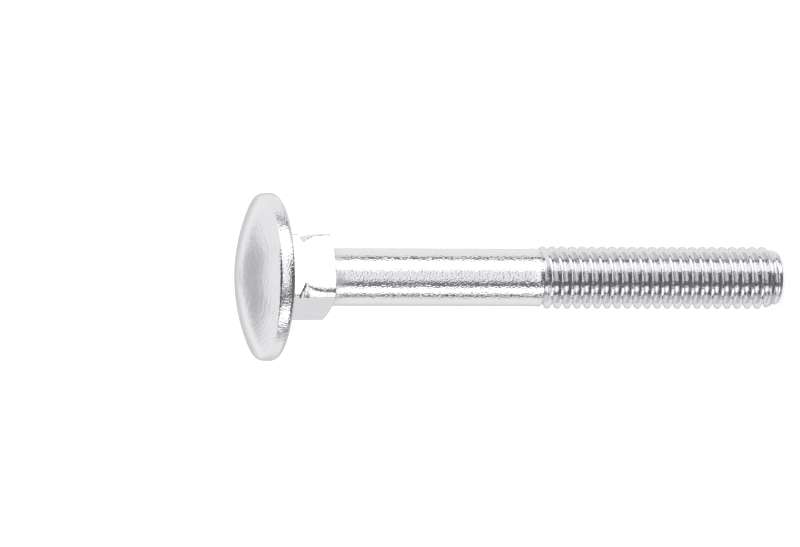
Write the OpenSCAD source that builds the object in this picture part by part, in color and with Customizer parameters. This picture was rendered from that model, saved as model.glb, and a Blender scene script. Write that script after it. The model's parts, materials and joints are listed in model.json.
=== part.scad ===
// Carriage bolt with a cup head and a square neck, forged in one piece, with a rolled thread.
// The axis is Z, the head is up, and Z = 0 is the face of the head that seats on the work.

/* [Head] */
// Diameter of the cup head
head_d = 16.1; // [13:0.1:20]
// Height of the upright rim, up to the edge of the dome
rim_h = 1.5; // [1.2:0.05:2.5]
// Height of the dome above the rim
dome_h = 1.98; // [1:0.01:3.5]
// Radius that rounds the rim's lower edge
rim_round = 0.5; // [0.2:0.05:0.7]
// Width of the bevel between the rim and the dome
rim_bevel = 0.25; // [0.05:0.05:0.4]

/* [Square neck] */
// Width of the square neck across its flats
neck_w = 6.5; // [6:0.05:7.5]
// Length of the square neck under the head
neck_len = 4.9; // [3.6:0.1:8]
// Diameter over the neck's corners
corner_d = 9.1; // [8.7:0.05:9.6]
// Length of the slope from the neck's end down to the shank
slope_len = 0.35; // [0.2:0.05:1.2]
// Length of the full corners under the head
full_len = 1.6; // [1:0.1:2.4]
// Length of the step from a full corner down to its hollow
step_len = 0.5; // [0.2:0.05:1]
// Turn of the wide hollow from its corner's diagonal, in degrees
wide_turn = 35; // [0:1:38]
// Distance from the axis to the deep end of the wide hollow
wide_deep = 3.5; // [3.3:0.05:3.9]
// Distance from the axis to the wide hollow at the neck's end
wide_end = 3.65; // [3.3:0.05:4.1]
// Distance from the axis to the deep end of the narrow hollow
narrow_deep = 3.85; // [3.6:0.05:4.2]
// Distance from the axis to the narrow hollow at the neck's end
narrow_end = 4.5; // [3.9:0.05:4.55]

/* [Shank] */
// Diameter of the plain shank
shank_d = 5.52; // [5.2:0.01:5.7]
// Length under the head, from the seat to the tip
bolt_len = 50; // [40:1:120]

/* [Thread] */
// Outside diameter of the thread
thread_d = 6; // [5.8:0.01:6.1]
// Distance from one crest to the next
thread_pitch = 1; // [0.7:0.05:1.25]
// Depth of the groove below the crests
thread_depth = 0.54; // [0.4:0.01:0.65]
// Length of the thread, measured from the tip
thread_len = 24; // [12:0.5:28]
// Length over which the thread rises out of the shank
runout_len = 0.6; // [0.5:0.1:2]
// Diameter of the flat face at the tip
tip_d = 4.85; // [4:0.05:4.85]
// Length of the taper at the tip
tip_len = 1.2; // [0.6:0.1:2.5]

/* [Hidden] */
$fn = 96;
// Share of the pitch and share of the depth at each corner of the thread's outline
thread_form = [[0.125, 0], [0.43, 0.93], [0.5, 1], [0.57, 0.93], [0.875, 0]];
// Steps around one turn of the thread
turn_steps = 32;
// Turns of the grid that lie wholly below the tip, and wholly above the thread
spare_turns = 2;
// How far a feature reaches into the one that it grows from
root_len = 1;
// Directions of the two hollow corners, in degrees from +X towards +Y
wide_corner = 225;
narrow_corner = 315;
// Distance from the axis that lies beyond the neck's sharp corners
hollow_reach = neck_w * 0.75;
// How much slimmer than the shank the thread's end inside it is
core_inset = 0.03;

head_r = head_d / 2;
edge_r = head_r - rim_bevel;
dome_r = (edge_r * edge_r + dome_h * dome_h) / (2 * dome_h);
core_r = shank_d / 2 - core_inset;
tip_z = -bolt_len;
thread_top = tip_z + thread_len;
thread_end = thread_top + root_len;
taper_rate = (thread_d - tip_d) / 2 / tip_len;
form_n = len(thread_form);
rows = form_n * (ceil((thread_end - tip_z) / thread_pitch) + 2 * spare_turns);

// Radius of the thread at height z, where form_h is 0 in the groove and 1 on the crest
function thread_r(form_h, z) =
    let (full_r = thread_d / 2 - thread_depth * (1 - form_h))
    let (rise = max(0, min(1, (thread_top - z) / runout_len)))
    min(core_r + (full_r - core_r) * rise, tip_d / 2 + (z - tip_z) * taper_rate);

// Height of a row of the grid in one column, held between the tip and the thread's end
function row_z(column, row) =
    let (turns = floor(row / form_n) - spare_turns + column / turn_steps)
    let (z = tip_z + thread_pitch * (turns + thread_form[row % form_n][0]))
    max(tip_z, min(thread_end, z));

function grid_point(column, row) =
    let (angle = 360 * column / turn_steps)
    let (z = row_z(column, row))
    let (r = thread_r(thread_form[row % form_n][1], z))
    [r * cos(angle), r * sin(angle), z];

// Number of a grid point. After a whole turn a row carries on in the row one pitch higher.
function grid_index(column, row) =
    column < turn_steps ? column * rows + row : min(row + form_n, rows - 1);

module head() {
    // Dome
    intersection() {
        translate([0, 0, rim_h + dome_h - dome_r]) sphere(r = dome_r);
        translate([0, 0, rim_h]) cylinder(r = head_r, h = 2 * dome_h);
    }
    // Bevel between the rim and the dome
    translate([0, 0, rim_h - rim_bevel]) cylinder(r1 = head_r, r2 = edge_r, h = rim_bevel);
    // Rim with its rounded lower edge
    rotate_extrude() {
        translate([0, rim_round]) square([head_r, rim_h - rim_bevel - rim_round]);
        square([head_r - rim_round, rim_h - rim_bevel]);
        translate([head_r - rim_round, rim_round]) circle(r = rim_round);
    }
}

// Space that the metal has not filled at one corner of the neck: a step down from the full
// corner, then a flat that runs out towards the neck's end
module corner_hollow(turn, deep, end) {
    rotate([0, 0, turn]) rotate([90, 0, 0]) linear_extrude(height = neck_w, center = true)
        polygon([
            [hollow_reach, -full_len],
            [deep, -full_len - step_len],
            [end, -neck_len],
            [end, -neck_len - slope_len],
            [hollow_reach, -neck_len - slope_len]
        ]);
}

// Square bar whose corners are turned down a little and which slopes to the shank. Two corners
// that lie side by side are hollow.
module square_neck() {
    difference() {
        intersection() {
            translate([-neck_w / 2, -neck_w / 2, -neck_len - slope_len])
                cube([neck_w, neck_w, neck_len + slope_len + root_len]);
            rotate_extrude() polygon([
                [0, root_len],
                [corner_d / 2, root_len],
                [corner_d / 2, -neck_len],
                [shank_d / 2, -neck_len - slope_len],
                [0, -neck_len - slope_len]
            ]);
        }
        corner_hollow(wide_corner + wide_turn, wide_deep, wide_end);
        corner_hollow(narrow_corner, narrow_deep, narrow_end);
    }
}

module shank() {
    translate([0, 0, thread_top]) cylinder(d = shank_d, h = -neck_len - thread_top);
}

// One closed skin around the thread, on a grid of columns that climb one pitch in each turn.
// Rows beyond the tip and the thread's end are held at those planes, where they meet in points.
module thread() {
    points = [
        for (column = [0 : turn_steps - 1])
            for (row = [0 : rows - 1]) grid_point(column, row)
    ];
    triangles = [
        for (column = [0 : turn_steps - 1])
            for (row = [0 : rows - 2])
                let (low = grid_index(column, row))
                let (high = grid_index(column, row + 1))
                let (next_low = grid_index(column + 1, row))
                let (next_high = grid_index(column + 1, row + 1))
                each [[low, high, next_high], [low, next_high, next_low]]
    ];
    skin = [
        for (t = triangles)
            if (points[t[0]] != points[t[1]] && points[t[1]] != points[t[2]]
                && points[t[2]] != points[t[0]]) t
    ];
    tip_face = [for (column = [0 : turn_steps - 1]) column * rows];
    end_face = [for (column = [turn_steps - 1 : -1 : 0]) column * rows + rows - 1];
    polyhedron(points = points, faces = concat(skin, [tip_face, end_face]), convexity = 10);
}

module carriage_bolt() {
    color([0.86, 0.87, 0.88]) {
        head();
        square_neck();
        shank();
        thread();
    }
}

carriage_bolt();
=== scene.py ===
import json
import math

import bmesh
import bpy
from mathutils import Matrix, Vector


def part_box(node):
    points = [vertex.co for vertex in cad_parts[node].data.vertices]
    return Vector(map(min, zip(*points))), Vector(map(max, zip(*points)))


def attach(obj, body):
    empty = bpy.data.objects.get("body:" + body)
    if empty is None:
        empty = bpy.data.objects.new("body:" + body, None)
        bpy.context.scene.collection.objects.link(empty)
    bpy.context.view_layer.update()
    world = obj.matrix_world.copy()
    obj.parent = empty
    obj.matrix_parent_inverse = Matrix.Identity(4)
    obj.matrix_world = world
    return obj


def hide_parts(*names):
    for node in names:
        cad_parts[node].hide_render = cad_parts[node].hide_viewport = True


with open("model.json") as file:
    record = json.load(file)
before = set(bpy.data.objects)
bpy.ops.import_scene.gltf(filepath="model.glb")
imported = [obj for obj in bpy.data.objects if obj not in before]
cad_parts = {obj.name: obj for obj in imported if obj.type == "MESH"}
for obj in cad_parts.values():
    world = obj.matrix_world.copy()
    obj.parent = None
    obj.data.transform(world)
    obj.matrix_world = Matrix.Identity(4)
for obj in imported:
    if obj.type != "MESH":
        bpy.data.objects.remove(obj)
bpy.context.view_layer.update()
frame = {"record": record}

# Head: a low cup head, upset cold from the end of a steel bar and pressed to a dome in a die.
# The rim stands almost upright between two rounded edges, and the punch left a faint raised
# eye, a little off centre, with a fine ring around it.
MM = 0.001
ring_steps = 160
low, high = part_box("carriage_bolt")
head_r = high.x
head_h = high.z
rim_h = 1.5 * MM
crown_round = 0.42 * MM
rim_round = 0.5 * MM
lean_z = 0.85 * MM
lean_in = 0.03 * MM
eye_centre = Vector((0.35 * MM, 0.25 * MM))
eye_r = 2.1 * MM
eye_rise = 0.045 * MM
eye_top = 0.5
eye_foot = 1.5
eye_ring_r = 3.5 * MM
eye_ring_depth = 0.014 * MM
eye_ring_w = 0.14 * MM
marks_fade = 0.75
arc_rings = 6

bolt = bmesh.new()
column = bolt.verts.layers.float.new("column")


def share_of(start, end, value):
    return min(1.0, max(0.0, (value - start) / (end - start)))


def smooth_step(start, end, value):
    share = share_of(start, end, value)
    return share * share * (3 - 2 * share)


def polar(r, angle, z):
    return Vector((r * math.cos(angle), r * math.sin(angle), z))


def first_ring(r, z):
    """A ring of corners about the bolt's axis. Each keeps its angle in the column layer."""
    start = bolt.verts.new((r, 0, z))
    bmesh.ops.spin(bolt, geom=[start], cent=(0, 0, 0), axis=(0, 0, 1), angle=2 * math.pi,
                   steps=ring_steps, use_merge=True)
    for v in bolt.verts:
        v[column] = math.atan2(v.co.y, v.co.x)
    return bolt.edges[:]


def next_ring(ring, place):
    """Extrudes a ring of edges and puts each new corner at place(angle)."""
    made = bmesh.ops.extrude_edge_only(bolt, edges=ring)["geom"]
    corners = {g for g in made if isinstance(g, bmesh.types.BMVert)}
    for v in corners:
        v.co = place(v[column])
    return [g for g in made if isinstance(g, bmesh.types.BMEdge) and set(g.verts) <= corners]


def turned(ring, outline):
    """Extrudes a ring through the points of a round outline, each a radius and a height."""
    for r, z in outline:
        ring = next_ring(ring, lambda angle: polar(r, angle, z))
    return ring


def arc(centre_r, centre_z, radius, start, end):
    """Points of a quarter round or less, from start to end in degrees, with its first point."""
    turns = [math.radians(start + (end - start) * k / arc_rings) for k in range(arc_rings + 1)]
    return [(centre_r + radius * math.cos(t), centre_z + radius * math.sin(t)) for t in turns]


def dome_point(r, angle):
    """A point of the dome, with the eye and its ring. Both fade out before the dome's edge."""
    point = polar(r, angle, 0)
    off = (point.xy - eye_centre).length
    rise = eye_rise * (1 - smooth_step(eye_top * eye_r, eye_foot * eye_r, off))
    groove = eye_ring_depth * math.exp(-((off - eye_ring_r) / eye_ring_w) ** 2)
    fade = 1 - smooth_step(marks_fade * dome_edge_r, dome_edge_r, r)
    point.z = dome_centre_z + math.sqrt(dome_r ** 2 - r ** 2) + (rise - groove) * fade - eye_rise
    return point


dome_h = head_h - rim_h
dome_r = (head_r ** 2 + dome_h ** 2) / (2 * dome_h)
dome_centre_z = head_h - dome_r
crown_centre_r = head_r - lean_in - crown_round
crown_turn = math.asin(crown_centre_r / (dome_r - crown_round))
dome_edge_r = dome_r * math.sin(crown_turn)
dome_rings = 48
pole_r = 0.06 * MM
ring = first_ring(pole_r, head_h)
bmesh.ops.contextual_create(bolt, geom=ring)
for v in bolt.verts:
    v.co = dome_point(pole_r, v[column])
for k in range(1, dome_rings + 1):
    r = pole_r + (dome_edge_r - pole_r) * k / dome_rings
    ring = next_ring(ring, lambda angle: dome_point(r, angle))
dome_edge_z = dome_point(dome_edge_r, 0).z
crown_z = dome_edge_z - crown_round * math.cos(crown_turn)
lean_deg = math.degrees(math.atan(lean_in / (crown_z - lean_z)))
ring = turned(ring, arc(crown_centre_r, crown_z, crown_round, 90 - math.degrees(crown_turn),
                        lean_deg)[1:])
ring = turned(ring, [(head_r, lean_z)])
ring = turned(ring, arc(head_r - rim_round, rim_round, rim_round, 0, -90))

# Square neck: the bar squeezed square under the head, to bite in wood or lock in a square hole.
# The metal did not fill the die at two corners side by side: one has a small flat hollow, the
# other a wide scoop that is dished into the face beside it and narrows towards the neck's end.
neck_half = 3.27 * MM
neck_len = 4.75 * MM
long_corner = math.radians(135)
long_extra = 0.2 * MM
flat_extra = 0.1 * MM
slope_len = 0.5 * MM
slope_bulge = 2.2
end_round = 0.16 * MM
root_round = 0.25 * MM
corner_r = 4.62 * MM
corner_round = 0.5 * MM
edge_round = 0.12 * MM
flat_corner = math.radians(315)
flat_start = 1.74 * MM
flat_slant = 0.32
flat_step = 0.25 * MM
flat_from = 2.12 * MM
flat_deep = 3.84 * MM
flat_end = 4.55 * MM
flat_fade = 0.8 * MM
flat_reach = math.pi / 3
scoop_from = math.radians(210)
scoop_to = math.radians(265)
scoop_start = 1.35 * MM
scoop_slant = 0.5
scoop_step = 0.25 * MM
scoop_w = 1.54 * MM
scoop_end_w = 0.82 * MM
scoop_fade = 0.7 * MM
side_w = 0.36 * MM
side_deep = 0.12 * MM
side_end = 0.25 * MM
cut_deep = 0.54 * MM
cut_end = 0.15 * MM
cut_from = 1.95 * MM
cut_to = 2.75 * MM
corner_crowding = 0.72
least_slant = 0.1
shank_r = next(m for m in frame["record"]["mounts"] if m["name"] == "shank")["dims"]["r_mm"] * MM


def crowd(angle):
    """Moves a column's angle towards the nearest corner of the square, where shape is finest."""
    return angle + corner_crowding * math.sin(4 * angle) / 4


def smooth_min(a, b, width):
    share = max(0.0, width - abs(a - b)) / width
    return min(a, b) - share * share * width / 4


def square_r(angle):
    """Radius of the square bar with rounded edges, from the two faces nearest to the angle."""
    off = angle % (math.pi / 2)
    near = neck_half / max(least_slant, math.cos(off))
    far = neck_half / max(least_slant, math.sin(off))
    return smooth_min(near, far, corner_round)


def flat_r(angle, z):
    """Distance from the axis to the small flat across a corner, which starts in a slanted step."""
    off = angle - flat_corner
    start = flat_start + flat_slant * neck_half * (1 - math.tan(math.pi / 4 - max(0.0, -off)))
    flat = flat_end + (flat_deep - flat_end) * math.exp(-max(0.0, -z - flat_from) / flat_fade)
    before = 1 - smooth_step(start, start + flat_step, -z)
    return (flat + (corner_r - flat) * before) / math.cos(off)


def meet(angle, a, b):
    """Distance from the axis, at an angle, to the line through two points."""
    line = b - a
    return (line.x * a.y - line.y * a.x) / (line.x * math.sin(angle) - line.y * math.cos(angle))


def scoop_r(angle, z):
    """Distance from the axis to the scoop: a floor from the corner's edge, and a steep side."""
    down = -z - scoop_start - scoop_slant * scoop_w
    width = scoop_end_w + (scoop_w - scoop_end_w) * math.exp(-max(0.0, down) / scoop_fade)
    settled = smooth_step(cut_from, cut_to, -z)
    cut = cut_deep + (cut_end - cut_deep) * settled
    depth = side_deep + (side_end - side_deep) * settled
    corner = Vector((-neck_half, -neck_half))
    edge = corner + Vector((0, cut))
    foot = corner + Vector((width - side_w, depth))
    brim = corner + Vector((width, 0))
    return max(meet(angle, edge, foot), meet(angle, foot, brim))


def scoop_share(angle, z):
    """How far the scoop has set in. It starts on a slant, first at the corner's edge."""
    across = max(0.0, 1 - 1 / math.tan(angle)) * neck_half
    start = scoop_start + scoop_slant * min(scoop_w, across)
    return smooth_step(start, start + scoop_step, -z)


def neck_point(angle, z):
    """A point of the neck: the square bar down to its slope, less the flat and the scoop."""
    bent = crowd(angle) % (2 * math.pi)
    along = math.cos(bent - long_corner)
    end = neck_len + (long_extra if along > 0 else flat_extra) * along ** 2
    down = share_of(-end - slope_len, -end, z)
    slope = shank_r + (corner_r + edge_round - shank_r) * (1 - (1 - down) ** slope_bulge)
    r = smooth_min(square_r(bent), smooth_min(corner_r, slope, edge_round), edge_round)
    past = share_of(-end - slope_len + end_round, -end - slope_len, z)
    r -= end_round * (1 - math.sqrt(1 - past ** 2))
    if abs(bent - flat_corner) < flat_reach:
        r = smooth_min(r, flat_r(bent, z), edge_round)
    if scoop_from < bent < scoop_to:
        r -= max(0.0, r - scoop_r(bent, z)) * scoop_share(bent, z)
    return polar(max(shank_r, r), bent, z)


def under_point(angle, share):
    """A point of the head's flat underside, from the rim in to the fillet round the neck."""
    outer = polar(head_r - rim_round, angle, 0)
    inner = neck_point(angle, -root_round)
    inner += inner.xy.normalized().to_3d() * root_round
    inner.z = 0
    return outer.lerp(inner, share)


def root_point(angle, turn):
    """A point of the fillet between the head's underside and the neck."""
    inner = neck_point(angle, -root_round)
    inner += inner.xy.normalized().to_3d() * root_round * (1 - math.sin(turn))
    inner.z = -root_round * (1 - math.cos(turn))
    return inner


under_rings = 6
for k in range(1, under_rings + 1):
    share = k / under_rings
    ring = next_ring(ring, lambda angle: under_point(angle, share))
for k in range(1, arc_rings + 1):
    turn = math.pi / 2 * k / arc_rings
    ring = next_ring(ring, lambda angle: root_point(angle, turn))
neck_step = 0.055 * MM
neck_bottom = neck_len + long_extra + slope_len
neck_rings = round((neck_bottom - root_round) / neck_step)
for k in range(1, neck_rings + 1):
    z = -root_round - (neck_bottom - root_round) * k / neck_rings
    ring = next_ring(ring, lambda angle: neck_point(angle, z))

# Shank: the plain round stretch, at the width the bar has before a thread is rolled on it.
# It swells a hair where the rolling dies pushed metal back from the first groove.
thread_mount = next(m for m in frame["record"]["mounts"] if m["name"] == "thread")
thread_top = low.z + thread_mount["dims"]["length_mm"] * MM
shank_top = -neck_bottom
shank_foot = 0.12 * MM
swell_len = 0.7 * MM
swell_rise = 0.03 * MM
shank_start = shank_top - shank_foot
shank_outline = [(shank_r, shank_start)]
shank_rings = 24
for k in range(1, shank_rings + 1):
    z = shank_start + (thread_top + swell_len - shank_start) * k / shank_rings
    shank_outline.append((shank_r, z))
for k in range(1, arc_rings + 1):
    share = k / arc_rings
    bulge = swell_rise * math.sin(math.pi * share) ** 2
    shank_outline.append((shank_r + bulge, thread_top + swell_len * (1 - share)))
ring = turned(ring, shank_outline)

# Thread: rolled between flat dies, so its crests are rounded and its grooves have soft floors.
# It runs out into the shank at one end and fades in the tip's taper at the other.
thread_r = thread_mount["dims"]["r_mm"] * MM
pitch = 1.0 * MM
thread_depth = 0.54 * MM
crest_w = 0.22 * MM
floor_w = 0.17 * MM
form_round = 0.05 * MM
flank_share = 0.2
runout_len = 0.6 * MM
tip_r = 2.56 * MM
tip_len = 1.2 * MM
tip_round = 0.28 * MM
tip_dish_r = 1.2 * MM
tip_dish_depth = 0.05 * MM
tip_z = low.z + tip_round
spare_turns = 2
merge_gap = 0.0005 * MM


def thread_shape(point):
    """Fades the thread into the shank at its top and into the taper at the tip."""
    z = min(thread_top, max(tip_z, point.z))
    rise = min(1.0, (thread_top - z) / runout_len)
    r = shank_r + (point.xy.length - shank_r) * rise
    r = smooth_min(r, tip_r + (thread_r - tip_r) * (z - tip_z) / tip_len, form_round)
    return polar(tip_r if z == tip_z else r, math.atan2(point.y, point.x), z)


form = bmesh.new()
root = Vector((thread_r - thread_depth, 0, floor_w / 2))
crest = Vector((thread_r, 0, (pitch - crest_w) / 2))
flank = [root, root.lerp(crest, flank_share), crest.lerp(root, flank_share), crest]
far_flank = [Vector((v.x, 0, pitch - v.z)) for v in reversed(flank)]
turns = math.ceil((thread_top - low.z) / pitch) + spare_turns
outline = [form.verts.new(v + Vector((0, 0, low.z + (k - 1) * pitch)))
           for k in range(turns) for v in flank + far_flank]
for pair in zip(outline, outline[1:]):
    form.edges.new(pair)
ends = (0, len(flank) - 1)
corners = [v for k, v in enumerate(outline[1:-1], 1) if k % len(flank) in ends]
bmesh.ops.bevel(form, geom=corners, offset=form_round, affect="VERTICES", segments=2,
                profile=0.5, material=-1)
bmesh.ops.spin(form, geom=form.verts[:] + form.edges[:], cent=(0, 0, 0), axis=(0, 0, 1),
               dvec=(0, 0, pitch / ring_steps), angle=2 * math.pi, steps=ring_steps)
for v in form.verts:
    v.co = thread_shape(v.co)
bmesh.ops.remove_doubles(form, verts=form.verts, dist=merge_gap)
form_mesh = bpy.data.meshes.new("thread_form")
form.to_mesh(form_mesh)
form.free()
bolt.from_mesh(form_mesh)
bpy.data.meshes.remove(form_mesh)
bmesh.ops.remove_doubles(bolt, verts=bolt.verts, dist=merge_gap)
tip_ring = [e for e in bolt.edges if e.is_boundary]
for v in {v for e in tip_ring for v in e.verts}:
    v[column] = math.atan2(v.co.y, v.co.x)
tip_ring = turned(tip_ring, arc(tip_r - tip_round, tip_z, tip_round, 0, -90)[1:])
tip_ring = turned(tip_ring, [(tip_dish_r, low.z + tip_dish_depth)])
bmesh.ops.contextual_create(bolt, geom=tip_ring)

# One piece of steel: the head, the neck, the shank and the thread are one closed skin. Its
# faces take four finishes in turn: the dome, the rim and neck, the shank, and the thread.
bolt.verts.layers.float.remove(column)
bmesh.ops.recalc_face_normals(bolt, faces=bolt.faces)
for face in bolt.faces:
    face.smooth = True
    height = face.calc_center_median().z
    face.material_index = sum(height < end for end in (dome_edge_z, shank_top, thread_top))
bolt_mesh = bpy.data.meshes.new("bolt")
bolt.to_mesh(bolt_mesh)
bolt.free()
bolt_piece = bpy.data.objects.new("bolt", bolt_mesh)
bpy.context.scene.collection.objects.link(bolt_piece)
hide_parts("carriage_bolt")
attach(bolt_piece, "root")


# Zinc plating: a thin bright coat over the steel, almost white, with a fine pebbled grain.
# The head keeps faint rings from the die. The drawn shank's grain is stretched along the axis,
# and the thread is the smoothest, because the rolling dies burnished it.
def grain_group():
    group = bpy.data.node_groups.new("zinc_grain", "ShaderNodeTree")
    face = group.interface
    face.new_socket("Vector", in_out="INPUT", socket_type="NodeSocketVector")
    face.new_socket("Grain Scale", in_out="INPUT", socket_type="NodeSocketFloat")
    face.new_socket("Cloud Scale", in_out="INPUT", socket_type="NodeSocketFloat")
    face.new_socket("Height", in_out="OUTPUT", socket_type="NodeSocketFloat")
    face.new_socket("Cloud", in_out="OUTPUT", socket_type="NodeSocketFloat")
    nodes, links = group.nodes, group.links
    given = nodes.new("NodeGroupInput")
    out = nodes.new("NodeGroupOutput")
    grain = nodes.new("ShaderNodeTexNoise")
    grain.inputs["Detail"].default_value = 0.0
    cloud = nodes.new("ShaderNodeTexNoise")
    cloud.inputs["Detail"].default_value = 3.0
    for noise, scale in ((grain, "Grain Scale"), (cloud, "Cloud Scale")):
        links.new(given.outputs["Vector"], noise.inputs["Vector"])
        links.new(given.outputs[scale], noise.inputs["Scale"])
    links.new(grain.outputs["Fac"], out.inputs["Height"])
    links.new(cloud.outputs["Fac"], out.inputs["Cloud"])
    return group


def ring_group():
    """Noise that runs in rings about Z: quick along the radius and slow round the turn."""
    group = bpy.data.node_groups.new("die_rings", "ShaderNodeTree")
    face = group.interface
    face.new_socket("Vector", in_out="INPUT", socket_type="NodeSocketVector")
    face.new_socket("Ring Scale", in_out="INPUT", socket_type="NodeSocketFloat")
    face.new_socket("Turn Length", in_out="INPUT", socket_type="NodeSocketFloat")
    face.new_socket("Height", in_out="OUTPUT", socket_type="NodeSocketFloat")
    nodes, links = group.nodes, group.links
    given = nodes.new("NodeGroupInput")
    out = nodes.new("NodeGroupOutput")
    flat = nodes.new("ShaderNodeVectorMath")
    flat.operation = "MULTIPLY"
    flat.inputs[1].default_value = (1, 1, 0)
    radius = nodes.new("ShaderNodeVectorMath")
    radius.operation = "LENGTH"
    bearing = nodes.new("ShaderNodeVectorMath")
    bearing.operation = "NORMALIZE"
    turn = nodes.new("ShaderNodeVectorMath")
    turn.operation = "SCALE"
    rise = nodes.new("ShaderNodeCombineXYZ")
    place = nodes.new("ShaderNodeVectorMath")
    noise = nodes.new("ShaderNodeTexNoise")
    noise.inputs["Detail"].default_value = 3.0
    links.new(given.outputs["Vector"], flat.inputs[0])
    links.new(flat.outputs["Vector"], radius.inputs[0])
    links.new(flat.outputs["Vector"], bearing.inputs[0])
    links.new(bearing.outputs["Vector"], turn.inputs[0])
    links.new(given.outputs["Turn Length"], turn.inputs["Scale"])
    links.new(radius.outputs["Value"], rise.inputs["Z"])
    links.new(turn.outputs["Vector"], place.inputs[0])
    links.new(rise.outputs["Vector"], place.inputs[1])
    links.new(place.outputs["Vector"], noise.inputs["Vector"])
    links.new(given.outputs["Ring Scale"], noise.inputs["Scale"])
    links.new(noise.outputs["Fac"], out.inputs["Height"])
    return group


zinc_grain = grain_group()
die_rings = ring_group()
zinc_dull = (0.735, 0.732, 0.76)
zinc_bright = (0.785, 0.784, 0.8)
cloud_share = 0.12
cloud_low = 0.3
cloud_high = 0.7


def plated(name, grain_size, grain_height, stretch, roughness, tone=1.0):
    """Zinc plating with grain of a size and a height in metres, drawn out along the axis."""
    material = bpy.data.materials.new(name)
    material.use_nodes = True
    nodes, links = material.node_tree.nodes, material.node_tree.links
    shader = nodes["Principled BSDF"]
    shader.inputs["Metallic"].default_value = 1.0
    place = nodes.new("ShaderNodeTexCoord")
    drawn = nodes.new("ShaderNodeMapping")
    drawn.inputs["Scale"].default_value = (1, 1, 1 / stretch)
    links.new(place.outputs["Object"], drawn.inputs["Vector"])
    grain = nodes.new("ShaderNodeGroup")
    grain.node_tree = zinc_grain
    grain.inputs["Grain Scale"].default_value = 1 / grain_size
    grain.inputs["Cloud Scale"].default_value = cloud_share / grain_size
    links.new(drawn.outputs["Vector"], grain.inputs["Vector"])
    bump = nodes.new("ShaderNodeBump")
    bump.name = "grain_bump"
    bump.inputs["Distance"].default_value = grain_height
    links.new(grain.outputs["Height"], bump.inputs["Height"])
    links.new(bump.outputs["Normal"], shader.inputs["Normal"])
    rough = nodes.new("ShaderNodeMapRange")
    rough.inputs["From Min"].default_value = cloud_low
    rough.inputs["From Max"].default_value = cloud_high
    rough.inputs["To Min"].default_value = roughness[0]
    rough.inputs["To Max"].default_value = roughness[1]
    links.new(grain.outputs["Cloud"], rough.inputs["Value"])
    links.new(rough.outputs["Result"], shader.inputs["Roughness"])
    colour = nodes.new("ShaderNodeMix")
    colour.data_type = "RGBA"
    colour.inputs[6].default_value = (*(tone * c for c in zinc_dull), 1)
    colour.inputs[7].default_value = (*(tone * c for c in zinc_bright), 1)
    links.new(grain.outputs["Cloud"], colour.inputs["Factor"])
    links.new(colour.outputs[2], shader.inputs["Base Color"])
    return material


def ringed(material, ring_size, ring_height, turn_length):
    """Adds the die's rings under the grain of a plated material."""
    nodes, links = material.node_tree.nodes, material.node_tree.links
    place = nodes.new("ShaderNodeTexCoord")
    rings = nodes.new("ShaderNodeGroup")
    rings.node_tree = die_rings
    rings.inputs["Ring Scale"].default_value = 1 / ring_size
    rings.inputs["Turn Length"].default_value = turn_length
    links.new(place.outputs["Object"], rings.inputs["Vector"])
    bump = nodes.new("ShaderNodeBump")
    bump.inputs["Distance"].default_value = ring_height
    links.new(rings.outputs["Height"], bump.inputs["Height"])
    links.new(bump.outputs["Normal"], nodes["grain_bump"].inputs["Normal"])
    return material


def dulled(material, dull_z, bright_z, roughness):
    """Adds roughness to a plated material above a height, fading out down to a lower height."""
    nodes, links = material.node_tree.nodes, material.node_tree.links
    place = nodes.new("ShaderNodeTexCoord")
    parts = nodes.new("ShaderNodeSeparateXYZ")
    fade = nodes.new("ShaderNodeMapRange")
    fade.inputs["From Min"].default_value = bright_z
    fade.inputs["From Max"].default_value = dull_z
    fade.inputs["To Max"].default_value = roughness
    total = nodes.new("ShaderNodeMath")
    rough = nodes["Principled BSDF"].inputs["Roughness"]
    links.new(place.outputs["Object"], parts.inputs["Vector"])
    links.new(parts.outputs["Z"], fade.inputs["Value"])
    links.new(rough.links[0].from_socket, total.inputs[0])
    links.new(fade.outputs["Result"], total.inputs[1])
    links.new(total.outputs["Value"], rough)
    return material


pressed = plated("zinc_pressed", 0.16 * MM, 0.009 * MM, 1.0, (0.08, 0.14))
bolt_mesh.materials.append(ringed(pressed, 0.25 * MM, 0.028 * MM, 1.2 * MM))
bolt_mesh.materials.append(plated("zinc_forged", 0.13 * MM, 0.029 * MM, 1.0, (0.06, 0.11)))
drawn = plated("zinc_drawn", 0.13 * MM, 0.02 * MM, 1.3, (0.08, 0.14))
bolt_mesh.materials.append(dulled(drawn, shank_top, shank_top - 1.4 * MM, 0.22))
bolt_mesh.materials.append(plated("zinc_rolled", 0.14 * MM, 0.016 * MM, 1.0, (0.04, 0.08), 0.94))

# Floor: a plain white sheet under the bolt, which stands on its flat tip. Seen from below it is
# clear, and the metal mirrors the studio around it in its place.
floor_size = 6.0
floor_glow = 0.55
floor_white = (0.8, 0.8, 0.8, 1)
floor_bm = bmesh.new()
bmesh.ops.create_grid(floor_bm, x_segments=1, y_segments=1, size=floor_size / 2)
bmesh.ops.translate(floor_bm, verts=floor_bm.verts, vec=(0, 0, low.z))
floor_mesh = bpy.data.meshes.new("floor")
floor_bm.to_mesh(floor_mesh)
floor_bm.free()
floor = bpy.data.objects.new("floor", floor_mesh)
bpy.context.scene.collection.objects.link(floor)
floor.visible_glossy = False
paper = bpy.data.materials.new("white_paper")
paper.use_nodes = True
nodes, links = paper.node_tree.nodes, paper.node_tree.links
nodes.clear()
output = nodes.new("ShaderNodeOutputMaterial")
sheet = nodes.new("ShaderNodeBsdfDiffuse")
sheet.inputs["Color"].default_value = floor_white
glow = nodes.new("ShaderNodeEmission")
path = nodes.new("ShaderNodeLightPath")
lift = nodes.new("ShaderNodeMath")
lift.operation = "MULTIPLY"
lift.inputs[1].default_value = floor_glow
links.new(path.outputs["Is Camera Ray"], lift.inputs[0])
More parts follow.
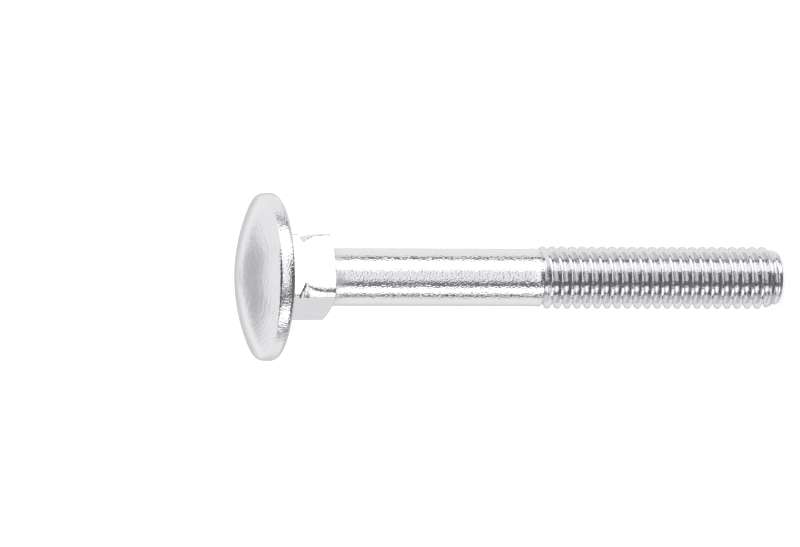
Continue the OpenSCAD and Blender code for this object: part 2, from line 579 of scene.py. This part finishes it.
links.new(lift.outputs["Value"], glow.inputs["Strength"])
lit = nodes.new("ShaderNodeAddShader")
links.new(sheet.outputs["BSDF"], lit.inputs[0])
links.new(glow.outputs["Emission"], lit.inputs[1])
clear = nodes.new("ShaderNodeBsdfTransparent")
side = nodes.new("ShaderNodeNewGeometry")
pick = nodes.new("ShaderNodeMixShader")
links.new(side.outputs["Backfacing"], pick.inputs["Fac"])
links.new(lit.outputs["Shader"], pick.inputs[1])
links.new(clear.outputs["BSDF"], pick.inputs[2])
links.new(pick.outputs["Shader"], output.inputs["Surface"])
floor_mesh.materials.append(paper)

# Studio: a white light tent with two bright strip lights and the dark gaps beside them.
# Each panel is given by its bearing from the camera and its height, in degrees.
view_azimuth = -21
view_elevation = 15.2
base_light = 1.27
panels = [
    # bearing, half width, lowest, highest, soft edge, light
    (182, 15, 24, 51, 5, 0.73),
    (-165, 30, -60, 8, 8, 1.0),
    (-178, 24, -60, 8, 6, 0.84),
    (-115, 45, -85, -24, 2, 0.84),
    (112, 24, -85, -24, 2, 1.0),
    (-12, 55, 25, 95, 3, 0.12),
    (-26, 59, -90, -22, 3, 0.22),
    (8, 25, -11, 12, 2, 1.5),
    (-29, 12, -75, 60, 2.5, 0.28),
    (54, 24, -72, 24, 1.5, 2.1),
    (-54, 13, -32, 24, 1.5, 2.1),
    (82, 6.5, -70, 16, 2.5, 0.15),
    (-79, 6, -70, 16, 2.5, 0.13),
    (0, 180, -95, -68, 2, 0.12),
]
world = bpy.data.worlds.new("light_tent")
bpy.context.scene.world = world
world.use_nodes = True
nodes, links = world.node_tree.nodes, world.node_tree.links
nodes.clear()


def maths(operation, *values):
    node = nodes.new("ShaderNodeMath")
    node.operation = operation
    for socket, value in zip(node.inputs, values):
        if isinstance(value, bpy.types.NodeSocket):
            links.new(value, socket)
        else:
            socket.default_value = value
    return node.outputs[0]


def ramp(value, start, end):
    """Runs smoothly from 0 at start to 1 at end."""
    node = nodes.new("ShaderNodeMapRange")
    node.interpolation_type = "SMOOTHSTEP"
    node.inputs["From Min"].default_value = min(start, end)
    node.inputs["From Max"].default_value = max(start, end)
    node.inputs["To Min"].default_value = 0.0 if start < end else 1.0
    node.inputs["To Max"].default_value = 1.0 if start < end else 0.0
    links.new(value, node.inputs["Value"])
    return node.outputs["Result"]


sky = nodes.new("ShaderNodeTexCoord")
parts = nodes.new("ShaderNodeSeparateXYZ")
links.new(sky.outputs["Generated"], parts.inputs["Vector"])
sky_height = maths("MULTIPLY", maths("ARCSINE", parts.outputs["Z"]), math.degrees(1))
light = None
for bearing, half_w, lowest, highest, soft, level in panels:
    turn = nodes.new("ShaderNodeMapping")
    turn.inputs["Rotation"].default_value[2] = math.radians(90 - view_azimuth - bearing)
    links.new(sky.outputs["Generated"], turn.inputs["Vector"])
    here = nodes.new("ShaderNodeSeparateXYZ")
    links.new(turn.outputs["Vector"], here.inputs["Vector"])
    angle = maths("ARCTAN2", here.outputs["Y"], here.outputs["X"])
    off = maths("MULTIPLY", maths("ABSOLUTE", angle), math.degrees(1))
    mask = ramp(off, half_w + soft, half_w - soft)
    mask = maths("MULTIPLY", mask, ramp(sky_height, lowest - soft, lowest + soft))
    mask = maths("MULTIPLY", mask, ramp(sky_height, highest + soft, highest - soft))
    below = base_light if light is None else light
    light = maths("ADD", maths("MULTIPLY", mask, maths("SUBTRACT", level, below)), below)
seen = nodes.new("ShaderNodeLightPath")
light = maths("MAXIMUM", light, seen.outputs["Is Camera Ray"])
tent = nodes.new("ShaderNodeBackground")
links.new(light, tent.inputs["Strength"])
world_out = nodes.new("ShaderNodeOutputWorld")
links.new(tent.outputs["Background"], world_out.inputs["Surface"])
bpy.context.scene.view_settings.view_transform = "Standard"

# Camera: a long lens on the head's side of the bolt, rolled so that the bolt lies level with
# its head on the left. The near corner of the neck is a little below the line of sight.
frame_w = 800
frame_h = 547
px_per_mm = 10.43
seat_px = 275.0
axis_px = 277.2
camera_distance = 2.2
azimuth = math.radians(view_azimuth)
elevation = math.radians(view_elevation)
droop = math.radians(0.12)
back = Vector((math.sin(azimuth) * math.cos(elevation), -math.cos(azimuth) * math.cos(elevation),
               math.sin(elevation)))
level = (back * back.z - Vector((0, 0, 1))).normalized()
right = level * math.cos(droop) + back.cross(level) * math.sin(droop)
up = back.cross(right)
aim = Vector((0, 0, -(frame_w / 2 - seat_px) / (px_per_mm * math.cos(elevation)) * MM))
aim += up * (axis_px - frame_h / 2) / px_per_mm * MM
camera_data = bpy.data.cameras.new("camera")
camera_data.lens = px_per_mm / MM * camera_data.sensor_width * camera_distance / frame_w
camera_data.clip_end = 20
camera = bpy.data.objects.new("camera", camera_data)
bpy.context.scene.collection.objects.link(camera)
camera.matrix_world = Matrix.Translation(aim + back * camera_distance) @ Matrix(
    (right, up, back)).transposed().to_4x4()
bpy.context.scene.camera = camera
